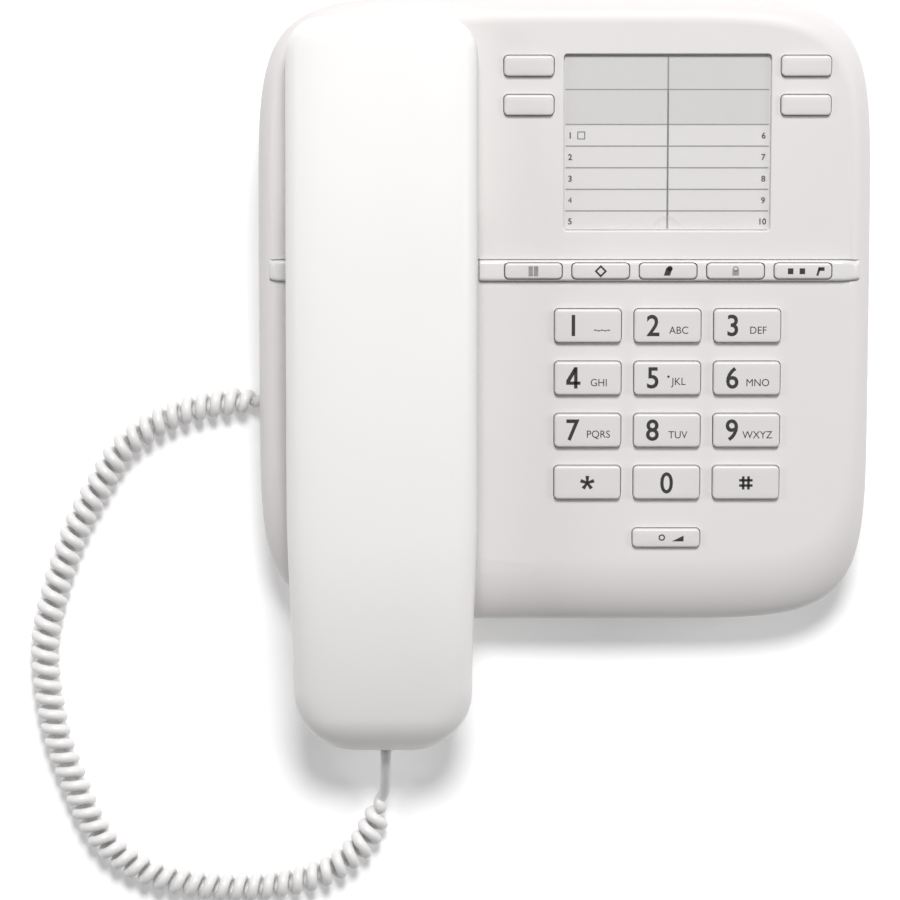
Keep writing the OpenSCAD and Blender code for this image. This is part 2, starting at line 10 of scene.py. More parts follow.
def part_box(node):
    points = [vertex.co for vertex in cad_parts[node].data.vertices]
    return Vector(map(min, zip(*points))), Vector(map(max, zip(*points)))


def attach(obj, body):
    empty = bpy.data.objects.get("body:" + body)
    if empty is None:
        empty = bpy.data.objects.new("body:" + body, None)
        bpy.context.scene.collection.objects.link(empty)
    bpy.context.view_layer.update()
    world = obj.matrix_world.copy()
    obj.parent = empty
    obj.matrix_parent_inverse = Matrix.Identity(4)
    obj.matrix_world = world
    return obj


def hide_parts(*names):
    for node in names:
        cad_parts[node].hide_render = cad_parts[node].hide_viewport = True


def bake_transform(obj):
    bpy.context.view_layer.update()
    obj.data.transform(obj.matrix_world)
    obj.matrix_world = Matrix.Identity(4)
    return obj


MM = 0.001
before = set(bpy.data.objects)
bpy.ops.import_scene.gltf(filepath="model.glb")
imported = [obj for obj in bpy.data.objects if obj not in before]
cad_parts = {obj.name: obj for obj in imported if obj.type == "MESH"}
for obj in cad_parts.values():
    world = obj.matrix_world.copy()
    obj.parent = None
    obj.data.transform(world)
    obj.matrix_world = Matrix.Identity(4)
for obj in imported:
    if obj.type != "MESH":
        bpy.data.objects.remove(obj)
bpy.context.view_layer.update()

# Sizes in millimetres, as the frame has them
BASE_W, BASE_D = 168, 170.5
FACE_FRONT_Z, FACE_TILT, SEAM_Z, WALL = 23, math.radians(8.5), 13, 2.5
OUTLINE_POWER = 6.7
HANDSET_L, HANDSET_W, HANDSET_OVERHANG, HANDSET_X = 200, 52, 36.3, -49.8
TOTAL_L = BASE_D + HANDSET_OVERHANG
BASE_FRONT, BASE_REAR = HANDSET_OVERHANG - TOTAL_L / 2, TOTAL_L / 2
HANDSET_FRONT, HANDSET_REAR = -TOTAL_L / 2, HANDSET_L - TOTAL_L / 2
RISE = math.tan(FACE_TILT)
SIDE_ROUND, FRONT_ROUND, REAR_ROUND, EDGE_DROP = 6, 17, 8, 9
FOOT_H, BOTTOM_INSET, BOTTOM_ROUND, BOTTOM_SPREAD, SEAM_INSET = 2.5, 8, 2, 2.4, 0.8
CRADLE_HALF = HANDSET_W / 2 - 0.7
CRADLE_REAR = HANDSET_REAR - 1
CRADLE_DROP, WELL_FRONT, WELL_DROP, CRADLE_CORNER = 8, 44, 10.8, 9
SEEN_GAP, KEY_CORNER, HOLE_EDGE = 0.16, 1.2, 0.15
DIAL_X, DIAL_Y, DIAL_PITCH_X, DIAL_PITCH_Y = 28.2, 13.9, 21.8, 14.3
DIAL_W, DIAL_H, DIAL_RISE = 18.3, 9.2, 1.6
VOLUME_Y, VOLUME_W, VOLUME_H = -44.3, 18.6, 5.2
FUNCTION_X, FUNCTION_Y, FUNCTION_PITCH = 28.2, 28.9, 18.4
FUNCTION_W, FUNCTION_H, FUNCTION_RISE = 15.7, 4.4, 2.1
BAR_RISE, BAR_H, BAR_GROOVE, BAR_HALF = 1.5, 6, 1, 81
MEMORY_XS, MEMORY_YS = (-9.9, 65.4), (84.1, 73.6)
MEMORY_W, MEMORY_H, MEMORY_RISE = 13.6, 5.6, 1.4
CARD_X, CARD_Y, CARD_W, CARD_H = 27.8, 63.4, 56.4, 48.2
RECESS, CARD_T, WINDOW_TOP = 1.7, 0.3, 0.1
FIT = 0.3
HOOK_Y, HOOK_W, HOOK_L = 54, 9, 6


# ---- Meshes and curves ----


def add_mesh(name, verts, faces):
    """A mesh object from points in millimetres."""
    mesh = bpy.data.meshes.new(name)
    mesh.from_pydata([tuple(c * MM for c in v) for v in verts], [], faces)
    mesh.validate()
    piece = bpy.data.objects.new(name, mesh)
    bpy.context.scene.collection.objects.link(piece)
    return piece


def loft(rings, closed_ends=True):
    """Faces and points of a skin through rings that all have the same number of points."""
    n = len(rings[0])
    points = [p for ring in rings for p in ring]
    faces = []
    for k in range(len(rings) - 1):
        for i in range(n):
            j = (i + 1) % n
            faces.append((k * n + i, k * n + j, (k + 1) * n + j, (k + 1) * n + i))
    if closed_ends:
        faces.append(tuple(range(n - 1, -1, -1)))
        faces.append(tuple(range((len(rings) - 1) * n, len(rings) * n)))
    return points, faces


def merged(parts):
    """Several (points, faces) pairs as one pair."""
    verts, faces = [], []
    for points, sides in parts:
        start = len(verts)
        verts += list(points)
        faces += [tuple(start + i for i in f) for f in sides]
    return verts, faces


def joined(name, parts):
    """One mesh object from several (points, faces) pairs."""
    return add_mesh(name, *merged(parts))


def turns_round(count):
    return [2 * math.pi * i / count for i in range(count)]


def smooth(a, b, v):
    t = min(1, max(0, (v - a) / (b - a)))
    return t * t * (3 - 2 * t)


def spline(points, step):
    """Points about a step apart on a smooth curve through these."""
    line = [Vector(p) for p in points]
    line = [2 * line[0] - line[1]] + line + [2 * line[-1] - line[-2]]
    out = []
    for a, b, c, d in zip(line, line[1:], line[2:], line[3:]):
        count = max(1, round((c - b).length / step))
        for i in range(count):
            t = i / count
            out.append(0.5 * (2 * b + (c - a) * t + (2 * a - 5 * b + 4 * c - d) * t * t
                              + (3 * b - a - 3 * c + d) * t ** 3))
    out.append(line[-2])
    return out


def run_length(points):
    return sum((Vector(b) - Vector(a)).length for a, b in zip(points, points[1:]))


def tube(path, diameter, sides):
    """A round skin along a path, its rings turned as little as the path allows."""
    rings = []
    side = None
    for i, point in enumerate(path):
        along = (path[min(i + 1, len(path) - 1)] - path[max(i - 1, 0)]).normalized()
        if side is None:
            side = along.cross(Vector((0, 0, 1))).normalized()
        side = (side - along * side.dot(along)).normalized()
        up = along.cross(side)
        rings.append([point + diameter / 2 * (math.cos(a) * side + math.sin(a) * up)
                      for a in turns_round(sides)])
    return loft(rings)


# ---- Materials ----


def material(name, colour, roughness, **extra):
    """A Principled material with a little variation in colour and gloss, and a fine bump."""
    made = bpy.data.materials.new(name)
    made.use_nodes = True
    nodes, links = made.node_tree.nodes, made.node_tree.links
    shader = nodes["Principled BSDF"]
    place = nodes.new("ShaderNodeTexCoord").outputs["Object"]

    def noise(scale, detail):
        texture = nodes.new("ShaderNodeTexNoise")
        texture.inputs["Scale"].default_value = scale
        texture.inputs["Detail"].default_value = detail
        links.new(place, texture.inputs["Vector"])
        return texture.outputs["Fac"]

    def mapped(value, low, high):
        ramp = nodes.new("ShaderNodeMapRange")
        ramp.inputs["From Min"].default_value = 0.3
        ramp.inputs["From Max"].default_value = 0.7
        ramp.inputs["To Min"].default_value = low
        ramp.inputs["To Max"].default_value = high
        links.new(value, ramp.inputs["Value"])
        return ramp.outputs["Result"]

    vary = extra.get("vary", 0.02)
    blotch = noise(extra.get("blotch_scale", 30), 4)
    mix = nodes.new("ShaderNodeMix")
    mix.data_type = "RGBA"
    low = [c * (1 - vary) for c in colour]
    high = [min(1, c * (1 + vary)) for c in colour]
    mix.inputs["A"].default_value = (*low, 1)
    mix.inputs["B"].default_value = (*high, 1)
    links.new(mapped(blotch, 0, 1), mix.inputs["Factor"])
    links.new(mix.outputs["Result"], shader.inputs["Base Color"])
    grain = noise(extra.get("grain_scale", 2500), 3)
    spread = extra.get("gloss_spread", 0.05)
    links.new(mapped(blotch, roughness - spread, roughness + spread), shader.inputs["Roughness"])
    bump = nodes.new("ShaderNodeBump")
    bump.inputs["Strength"].default_value = extra.get("bump", 0.15)
    bump.inputs["Distance"].default_value = extra.get("bump_distance", 0.00004)
    links.new(grain, bump.inputs["Height"])
    links.new(bump.outputs["Normal"], shader.inputs["Normal"])
    shader.inputs["Metallic"].default_value = extra.get("metallic", 0)
    shader.inputs["Alpha"].default_value = extra.get("alpha", 1)
    shader.inputs["Coat Weight"].default_value = extra.get("coat", 0)
    shader.inputs["Coat Roughness"].default_value = 0.2
    shader.inputs["Specular IOR Level"].default_value = extra.get("specular", 0.5)
    return made


MATERIALS = {
    "housing": material("housing", (0.740, 0.716, 0.709), 0.45, vary=0.008, blotch_scale=20, bump=0.25,
                        specular=0.3),
    "handset": material("handset", (0.870, 0.857, 0.848), 0.38, vary=0.008, blotch_scale=20, bump=0.12,
                        specular=0.3),
    "key": material("key", (0.715, 0.690, 0.688), 0.36, vary=0.010, blotch_scale=60, bump=0.15),
    "trim": material("trim", (0.750, 0.735, 0.728), 0.28, vary=0.010, blotch_scale=60, bump=0.1, coat=0.2),
    "label": material("label", (0.035, 0.033, 0.032), 0.55, vary=0.25, blotch_scale=900, bump=0.1),
    "label_grey": material("label_grey", (0.30, 0.29, 0.29), 0.55, vary=0.12, blotch_scale=900, bump=0.1),
    "card": material("card", (0.705, 0.682, 0.676), 0.70, vary=0.006, blotch_scale=60, bump=0.1),
    # A darker card colour, used as painted shade over the card's top two rows.
    "card_painted_shade": material("card_painted_shade", (0.605, 0.596, 0.588), 0.70, vary=0.006, blotch_scale=60, bump=0.1),
    # This dark grey also paints the shadow line along the card's top edge.
    "rule_and_shadow_ink": material("rule_and_shadow_ink", (0.30, 0.29, 0.285), 0.7, vary=0.08, blotch_scale=700, bump=0.1),
    "window": material("window", (0.96, 0.97, 0.97), 0.08, vary=0.003, gloss_spread=0.02, bump=0.02,
                       alpha=0.06),
    "plug": material("plug", (0.80, 0.82, 0.83), 0.12, vary=0.02, gloss_spread=0.03, alpha=0.45, bump=0.05),
    "cord": material("cord", (0.800, 0.790, 0.785), 0.38, vary=0.015, blotch_scale=150, bump=0.2, coat=0.1),
    "rubber": material("rubber", (0.045, 0.045, 0.047), 0.75, vary=0.15, blotch_scale=200, bump=0.5),
    "black": material("black", (0.030, 0.030, 0.032), 0.45, vary=0.2, blotch_scale=150, bump=0.3),
    "steel": material("steel", (0.60, 0.60, 0.58), 0.32, vary=0.08, blotch_scale=300, metallic=1, bump=0.1),
    "capsule": material("capsule", (0.66, 0.66, 0.66), 0.35, vary=0.05, blotch_scale=200, metallic=1,
                        bump=0.1),
    "iron": material("iron", (0.20, 0.20, 0.21), 0.6, vary=0.2, blotch_scale=150, metallic=1, bump=0.6),
    "board": material("board", (0.020, 0.120, 0.050), 0.35, vary=0.15, blotch_scale=120, bump=0.3, coat=0.4),
    "silicone": material("silicone", (0.40, 0.44, 0.48), 0.55, vary=0.05, blotch_scale=150, bump=0.3),
    "wire": material("wire", (0.55, 0.16, 0.09), 0.4, vary=0.15, blotch_scale=300, bump=0.2),
    "gold": material("gold", (0.80, 0.56, 0.22), 0.25, vary=0.05, blotch_scale=300, metallic=1, bump=0.1),
}


def finish_mesh(piece, *materials, angle=35):
    """Gives a piece its materials, outward faces and smooth shading with sharp edges past this angle."""
    for m in materials:
        piece.data.materials.append(m)
    shape = bmesh.new()
    shape.from_mesh(piece.data)
    bmesh.ops.recalc_face_normals(shape, faces=shape.faces)
    limit = math.radians(angle)
    for edge in shape.edges:
        edge.smooth = len(edge.link_faces) == 2 and edge.calc_face_angle(math.pi) < limit
    for face in shape.faces:
        face.smooth = True
    shape.to_mesh(piece.data)
    shape.free()
    weighted = piece.modifiers.new("weighted", "WEIGHTED_NORMAL")
    weighted.keep_sharp = True
    return piece


# ---- Shared forms ----


def face_z(y):
    return FACE_FRONT_Z + (y - BASE_FRONT) * RISE


FACE_TURN = Matrix.Rotation(FACE_TILT, 4, "X")


def on_face(x, y, points):
    """Points given across, along and above the sloping face at (x, y), as points in the frame."""
    place = Matrix.Translation((x, y, face_z(y))) @ FACE_TURN
    return [place @ Vector(p) for p in points]


def rounded(w, h, r, steps=6):
    """A rectangle with round corners, centred."""
    out = []
    for corner, (sx, sy) in enumerate([(1, 1), (-1, 1), (-1, -1), (1, -1)]):
        for step in range(steps + 1):
            a = math.pi / 2 * (corner + step / steps)
            out.append((sx * (w / 2 - r) + r * math.cos(a), sy * (h / 2 - r) + r * math.sin(a)))
    return out


def prism(w, h, r, levels, steps=6):
    """Rings of a rounded rectangle that grows by g at each (g, z)."""
    return [[(x, y, z) for x, y in rounded(w + 2 * g, h + 2 * g, max(0.05, r + g), steps)] for g, z in levels]


FLARE_STEPS, FLARE_TURN = 4, math.radians(82)


def flare(r, top, above=1.0):
    """(grow, z) steps of a cutter whose mouth leaves a rounded edge of radius r at the level top."""
    steps = []
    for i in range(FLARE_STEPS + 1):
        a = FLARE_TURN * i / FLARE_STEPS
        steps.append((r * (1 - math.cos(a)), top - r + r * math.sin(a)))
    return steps + [(steps[-1][0], top + above)]


def signed_power(v, p):
    return math.copysign(abs(v) ** p, v)


OUTLINE_POINTS = 160


def outline(side, front, rear):
    a, b = BASE_W / 2 - side, (BASE_D - front - rear) / 2
    y = (BASE_FRONT + front + BASE_REAR - rear) / 2
    power = 2 / OUTLINE_POWER
    return [(a * signed_power(math.cos(t), power), y + b * signed_power(math.sin(t), power))
            for t in turns_round(OUTLINE_POINTS)]


def level_ring(inset, z):
    return [(x, y, z) for x, y in outline(inset, inset, inset)]


def face_ring(inset, a):
    out, drop = 1 - math.cos(a), EDGE_DROP * (1 - math.sin(a))
    plan = outline(inset + SIDE_ROUND * out, inset + FRONT_ROUND * out, inset + REAR_ROUND * out)
    return [(x, y, face_z(y) - inset - drop) for x, y in plan]


def upper_form(inset, bottom_rings, steps=12):
    turns = [math.pi / 2 * i / steps for i in range(steps + 1)]
    return loft(bottom_rings + [face_ring(inset, a) for a in turns])


def cut(piece, *cutters):
    """Takes these cutters out of a piece, and deletes them."""
    for cutter in cutters:
        flip_out(cutter)
        step = piece.modifiers.new("cut", "BOOLEAN")
        step.operation, step.solver, step.object = "DIFFERENCE", "EXACT", cutter
        step.use_self = True
        bpy.context.view_layer.update()
        seen = piece.evaluated_get(bpy.context.evaluated_depsgraph_get())
        mesh = bpy.data.meshes.new_from_object(seen)
        piece.modifiers.clear()
        piece.data = mesh
        bpy.data.objects.remove(cutter)
    return piece


def flip_out(piece):
    shape = bmesh.new()
    shape.from_mesh(piece.data)
    bmesh.ops.recalc_face_normals(shape, faces=shape.faces)
    shape.to_mesh(piece.data)
    shape.free()


def on_face_part(x, y, rings):
    points, faces = loft(rings)
    return on_face(x, y, points), faces


def cylinder_part(x, y, z0, z1, r, sides=32):
    return loft([[(x + r * math.cos(a), y + r * math.sin(a), z) for a in turns_round(sides)]
                 for z in (z0, z1)])


def span(mid, half):
    return mid - half, mid + half


def box_part(x, y, z):
    return loft([[(x[0], y[0], h), (x[1], y[0], h), (x[1], y[1], h), (x[0], y[1], h)] for h in z])


def dial_places():
    """Each dial key's name and place, row by row from the top left."""
    names = ["1", "2", "3", "4", "5", "6", "7", "8", "9", "star", "0", "hash"]
    for i, name in enumerate(names):
        yield name, DIAL_X + (i % 3 - 1) * DIAL_PITCH_X, DIAL_Y - (i // 3) * DIAL_PITCH_Y


def function_places():
    for i in range(5):
        yield i + 1, FUNCTION_X + (i - 2) * FUNCTION_PITCH, FUNCTION_Y


def memory_places():
    for i, (x, y) in enumerate([(x, y) for x in MEMORY_XS for y in MEMORY_YS]):
        yield i + 1, x, y


# ---- Base housing ----


def cradle_cutter(grow, rim):
    """The space above the cradle's floor, its mouth rounded over by rim."""
    front = -TOTAL_L
    width, depth = 2 * (CRADLE_HALF + grow), CRADLE_REAR - front + 2 * grow
    plan_y = (front + CRADLE_REAR) / 2
    floor = -CRADLE_DROP - grow
    corner = CRADLE_CORNER + grow
    levels = [(-1.6, floor), (-0.9, floor + 0.25), (-0.3, floor + 0.8), (0, floor + 1.8)]
    if grow > 0:
        levels = [(0, floor)]
    levels += flare(rim, 0, above=14) if rim else [(0, 14)]
    rings = []
    for ring in prism(width, depth, corner, levels, steps=10):
        rings.append([(HANDSET_X + x, plan_y + y, face_z(plan_y + y) + z) for x, y, z in ring])
    return loft(rings)


def well_cutter(grow):
    """The deeper well for the ear cup at the rear of the cradle."""
    y0, y1 = WELL_FRONT - grow, CRADLE_REAR + grow
    width, depth, mid = 2 * (CRADLE_HALF + grow), y1 - y0, (y0 + y1) / 2
    floor = -WELL_DROP - grow
    edge = 0 if grow > 0 else 1.4
    levels = [(-edge, floor), (-edge * 0.3, floor + edge * 0.3), (0, floor + edge + 0.01)]
    levels.append((0, 3 - CRADLE_DROP))
    rings = []
    for ring in prism(width, depth, CRADLE_CORNER + grow, levels, steps=10):
        rings.append([(HANDSET_X + x, mid + y, face_z(mid + y) + z) for x, y, z in ring])
    return loft(rings)


def key_hole(w, h):
    levels = [(0, -2 * WALL)] + flare(HOLE_EDGE, 0)
    return prism(w + 2 * SEEN_GAP, h + 2 * SEEN_GAP, KEY_CORNER + SEEN_GAP, levels)


def upper_shell():
    bottom = [level_ring(0.35, SEAM_Z + 0.15), level_ring(0.05, SEAM_Z + 0.4), level_ring(0, SEAM_Z + 0.8)]
    shell = add_mesh("housing_top", *upper_form(0, bottom))
    hollow = add_mesh("hollow", *upper_form(WALL, [level_ring(WALL, SEAM_Z - 4)], 4))
    cut(hollow, add_mesh("cradle_solid", *cradle_cutter(WALL, 0)), add_mesh("well_solid", *well_cutter(WALL)))
    cut(shell, hollow)
    cut(shell, add_mesh("cradle", *cradle_cutter(0, 1.0)), add_mesh("well", *well_cutter(0)))
    holes = [on_face_part(x, y, key_hole(DIAL_W, DIAL_H)) for _, x, y in dial_places()]
    holes += [on_face_part(x, y, key_hole(MEMORY_W, MEMORY_H)) for _, x, y in memory_places()]
    holes.append(on_face_part(DIAL_X, VOLUME_Y, key_hole(VOLUME_W, VOLUME_H)))
    holes.append(on_face_part(CARD_X, CARD_Y, prism(CARD_W, CARD_H, 1, [(0, -RECESS)] + flare(0.35, 0))))
    cut(shell, joined("holes", holes))
    groove = prism(2 * BAR_HALF, BAR_H, 0.6, [(0, -BAR_GROOVE)] + flare(0.25, 0, above=3))
    cut(shell, joined("groove", [on_face_part(0, FUNCTION_Y, groove)]))
    under = [on_face_part(x, y, key_hole(FUNCTION_W, FUNCTION_H)) for _, x, y in function_places()]
    cut(shell, joined("under", under))
    slot = box_part(span(HANDSET_X, HOOK_W / 2 + FIT), span(HOOK_Y, HOOK_L / 2 + FIT), (10, 90))
    cut(shell, joined("slot", [slot]))
    finish_mesh(shell, MATERIALS["housing"])
    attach(shell, "base")
    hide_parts("upper_shell")


HOUSING_SCREWS = [(-70, -40), (-70, 76), (70, -40), (70, 52)]
SCREW_BORE, SCREW_PAD, BORE_TOP, PAD_TOP = 3.0, 4.6, 6.5, 30
CORD_NICHE_Y, NICHE_HALF, JACK_FACE, JACK_LEVELS, PLUG_HALF = -6.2, 7, -73, (4.6, 11.8), 4.2
LINE_JACK_X, LINE_WINDOW_HALF, LINE_WINDOW_BOTTOM = 45, 5.4, 5.1
KEYHOLE_YS, KEYHOLE_HEAD, KEYHOLE_TOP, NECK_HALF, NECK_L = (-13.3, 70), 4.8, 9, 2.4, 9
RINGER_X, RINGER_Y, RINGER_SLOT_L, RINGER_SLOT_W, RINGER_PITCH = 40, -15, 14, 1.6, 3.5
# Cutters reach past the shell on either side
BELOW, PAST = -1, 200


def lower_form(inset, top):
    rings = [level_ring(BOTTOM_INSET + inset + 2, FOOT_H + inset)]
    for i in range(7):
        a = math.pi / 2 * i / 6
        z = FOOT_H + inset + BOTTOM_ROUND * (1 - math.cos(a))
        rings.append(level_ring(BOTTOM_INSET + inset - BOTTOM_SPREAD * math.sin(a), z))
    rings.append(level_ring(SEAM_INSET + inset, top - 0.4))
    rings.append(level_ring(SEAM_INSET + inset + 0.35, top))
    return loft(rings)


def lower_shell():
    shell = add_mesh("housing_bottom", *lower_form(0, SEAM_Z))
    inner = add_mesh("inner", *lower_form(WALL, SEAM_Z + 2))
    pads = [cylinder_part(x, y, 0, PAD_TOP, SCREW_PAD) for x, y in HOUSING_SCREWS]
    pads.append(box_part((-PAST, JACK_FACE + WALL), span(CORD_NICHE_Y, NICHE_HALF + WALL), (0, PAD_TOP)))
    cut(inner, joined("pads", pads))
    cut(shell, inner)
    niche = box_part((-PAST, JACK_FACE), span(CORD_NICHE_Y, NICHE_HALF), (BELOW, SEAM_Z - 1))
    line_window = box_part(span(LINE_JACK_X, LINE_WINDOW_HALF), (BASE_REAR - 11, PAST),
                           (LINE_WINDOW_BOTTOM, SEAM_Z + 1))
    cut(shell, joined("niches", [niche, line_window]))
    jack = box_part((-PAST, JACK_FACE + WALL + 1), span(CORD_NICHE_Y, PLUG_HALF), JACK_LEVELS)
    cut(shell, joined("jack_window", [jack]))
    holes = [cylinder_part(x, y, BELOW, BORE_TOP, SCREW_BORE) for x, y in HOUSING_SCREWS]
    holes += [cylinder_part(0, y, BELOW, KEYHOLE_TOP, KEYHOLE_HEAD) for y in KEYHOLE_YS]
    for i in range(-2, 3):
        across = span(RINGER_Y + RINGER_PITCH * i, RINGER_SLOT_W / 2)
        holes.append(box_part(span(RINGER_X, RINGER_SLOT_L / 2), across, (-10, 10)))
    cut(shell, joined("holes", holes))
    necks = [box_part(span(0, NECK_HALF), (y, y + NECK_L), (BELOW, KEYHOLE_TOP)) for y in KEYHOLE_YS]
    cut(shell, joined("necks", necks))
    neck_ends = [cylinder_part(0, y + NECK_L, BELOW, KEYHOLE_TOP + 0.5, NECK_HALF) for y in KEYHOLE_YS]
    cut(shell, joined("neck_ends", neck_ends))
    finish_mesh(shell, MATERIALS["housing"])
    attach(shell, "base")
    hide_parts("lower_shell")


# ---- Keys and their labels ----


def letters(text, size, x, y, z, bold=0.0, stretch=1.0):
    """Points and faces of flat generic lettering, its middle at (x, y)."""
    curve = bpy.data.curves.new("letters", "FONT")
    curve.body, curve.size = text, size
    curve.align_x, curve.align_y = "CENTER", "CENTER"
    curve.offset, curve.resolution_u, curve.extrude = bold, 4, 0.02
    holder = bpy.data.objects.new("letters", curve)
    bpy.context.scene.collection.objects.link(holder)
    bpy.context.view_layer.update()
    mesh = bpy.data.meshes.new_from_object(holder.evaluated_get(bpy.context.evaluated_depsgraph_get()))
    points = [Vector(v.co) for v in mesh.vertices]
    faces = [tuple(p.vertices) for p in mesh.polygons]
    low = Vector((min(p.x for p in points), min(p.y for p in points), 0))
    high = Vector((max(p.x for p in points), max(p.y for p in points), 0))
    mid = (low + high) / 2
    points = [((p.x - mid.x) * stretch + x, p.y - mid.y + y, p.z + z) for p in points]
    bpy.data.objects.remove(holder)
    bpy.data.meshes.remove(mesh)
    bpy.data.curves.remove(curve)
    return points, faces


def patch(points, z):
    """A thin flat patch with this outline, for print and for painted shade."""
    return loft([[(x, y, h) for x, y in points] for h in (z - 0.02, z + 0.02)])


def disc(x, y, r, z, sides=20):
    return patch([(x + r * math.cos(a), y + r * math.sin(a)) for a in turns_round(sides)], z)


def bar_patch(x, y, w, h, z):
    return patch([(x + sx * w / 2, y + sy * h / 2) for sx, sy in ((-1, -1), (1, -1), (1, 1), (-1, 1))], z)


FLANGE_TOP, FLANGE_BOTTOM, FLANGE_RIM = -2.8, -3.9, 0.8
KEY_EDGE = 0.55


def cap_rings(w, h, top, crown):
    """A key from its flange up to a softly crowned top with rounded edges."""
    levels = [(FLANGE_RIM, FLANGE_BOTTOM), (FLANGE_RIM, FLANGE_TOP), (0, FLANGE_TOP), (0, -0.6)]
    levels.append((-0.06, top - KEY_EDGE))
    for i in range(1, 6):
        a = math.pi / 2 * i / 5
        levels.append((-0.06 - KEY_EDGE * (1 - math.cos(a)), top - KEY_EDGE * (1 - math.sin(a))))
    levels += [(-0.06 - KEY_EDGE - 0.5, top + crown * 0.55), (-0.06 - KEY_EDGE - 1.3, top + crown)]
    return prism(w, h, KEY_CORNER, levels)


def key(name, body, x, y, w, h, top, marks, crown=0.05):
    """One key and what is printed on it, riding on its own body."""
    cap = loft(cap_rings(w, h, top, crown))
    points, faces = merged([cap] + marks)
    piece = add_mesh(name, on_face(x, y, points), faces)
    finish_mesh(piece, MATERIALS["key"], MATERIALS["label"], angle=40)
    for polygon in piece.data.polygons:
        polygon.material_index = 1 if polygon.vertices[0] >= len(cap[0]) else 0
    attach(piece, body)
    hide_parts(body)
    return piece


DIAL_LETTERS = {"2": "ABC", "3": "DEF", "4": "GHI", "5": "JKL",
                "6": "MNO", "7": "PQRS", "8": "TUV", "9": "WXYZ"}
DIGIT_SIZE, LETTER_SIZE = 8.2, 2.9


def four(x, y, z):
    """An open-strutted 4 from three strokes, because the font's own one closes up when it is bold."""
    stem = bar_patch(x + 0.72, y, 0.95, 5.9, z)
    arm = bar_patch(x + 0.05, y - 1.45, 3.9, 0.9, z)
    strut = patch([(x - 1.9, y - 1.0), (x - 0.85, y - 1.0), (x + 0.72, y + 1.65), (x + 0.72, y + 2.95),
                   (x + 0.3, y + 2.95), (x - 1.9, y - 0.7)], z)
    return [stem, arm, strut]


def dial_marks(name):
    z = DIAL_RISE + 0.05
    if name == "star":
        arms = []
        for i in range(5):
            a = math.pi / 2 + 2 * math.pi * i / 5
            tip, side = Vector((math.cos(a), math.sin(a))), Vector((-math.sin(a), math.cos(a)))
            outline_points = [side * -0.3, tip * 1.95 - side * 0.52, tip * 1.95 + side * 0.52, side * 0.3]
            arms.append(patch([(p.x, p.y) for p in outline_points], z))
        return arms
    if name == "hash":
        bars = [bar_patch(sx * 0.72, 0, 0.7, 3.7, z) for sx in (-1, 1)]
        return bars + [bar_patch(0, sy * 0.72, 3.7, 0.7, z) for sy in (-1, 1)]
    if name == "0":
        return [letters("0", DIGIT_SIZE, 0, 0, z, bold=0.10, stretch=0.92)]
    if name == "4":
        marks = four(-4.0, 0.2, z)
    else:
        marks = [letters(name, DIGIT_SIZE, -4.0, 0.2, z, bold=0.12, stretch=0.92)]
    if name == "1":
        marks += [bar_patch(2.0 + 0.9 * i, -1.1 - 0.15 * (i % 2), 0.75, 0.3, z) for i in range(5)]
    else:
        marks.append(letters(DIAL_LETTERS[name], LETTER_SIZE, 3.0, -1.1, z, stretch=0.95))
    if name == "5":
        marks.append(disc(0.3, 0.6, 0.3, z + 0.15))
    return marks


def slanted(x, y, w, h, lean, z):
    return patch([(x - w / 2 - lean, y - h / 2), (x + w / 2 - lean, y - h / 2), (x + w / 2 + lean, y + h / 2),
                  (x - w / 2 + lean, y + h / 2)], z)


def ring_patch(x, y, outer, inner, z, sides=4, turn=0.0):
    """A ring with this many sides, flat on the key."""
    angles = [turn + a for a in turns_round(sides)]
    rings = []
    for r, h in ((inner, z - 0.02), (outer, z - 0.02), (outer, z + 0.02), (inner, z + 0.02)):
        rings.append([(x + r * math.cos(a), y + r * math.sin(a), h) for a in angles])
    points, faces = loft(rings, closed_ends=False)
    n = sides
    faces += [(3 * n + i, 3 * n + (i + 1) % n, (i + 1) % n, i) for i in range(n)]
    return points, faces


def function_marks(i):
    """Plain symbols: a book, a diamond, a slanted blot, a padlock, and two dots with a flag."""
    z = FUNCTION_RISE + 0.05
    if i == 1:
        return [bar_patch(-0.72, 0, 1.2, 2.7, z), bar_patch(0.72, 0, 1.2, 2.7, z)]
    if i == 2:
        return [ring_patch(0, 0, 1.7, 1.0, z, sides=4)]
    if i == 3:
        return [slanted(0, -0.1, 1.7, 2.2, 0.35, z), disc(0.45, 0.7, 0.75, z)]
    if i == 4:
        return [bar_patch(0, -0.35, 1.8, 1.6, z), ring_patch(0, 0.6, 0.8, 0.5, z, sides=16)]
    dots = [bar_patch(x, 0, 1.5, 1.6, z) for x in (-3.4, -0.2)]
    return dots + [slanted(4.2, -0.1, 0.6, 2.2, 0.3, z), bar_patch(5.0, 0.6, 1.7, 1.0, z)]


def make_keys():
    for name, x, y in dial_places():
        key(f"dial_{name}", f"key_{name}", x, y, DIAL_W, DIAL_H, DIAL_RISE, dial_marks(name))
    for i, x, y in function_places():
        piece = key(f"function_{i}", f"function_key_{i}", x, y, FUNCTION_W, FUNCTION_H,
                    FUNCTION_RISE, function_marks(i))
        if i in (1, 4):
            piece.data.materials[1] = MATERIALS["label_grey"]
    for i, x, y in memory_places():
        key(f"memory_{i}", f"memory_key_{i}", x, y, MEMORY_W, MEMORY_H, MEMORY_RISE, [], 0.1)
    z = MEMORY_RISE + 0.11
    wedge = patch([(1.6, -0.85), (4.8, -0.85), (4.8, 0.75)], z)
    rim = ring_patch(-1.2, 0.2, 0.9, 0.55, z, sides=16)
    key("volume", "volume_key", DIAL_X, VOLUME_Y, VOLUME_W, VOLUME_H, MEMORY_RISE, [wedge, rim], 0.1)


# ---- Trim bar, index card and window ----


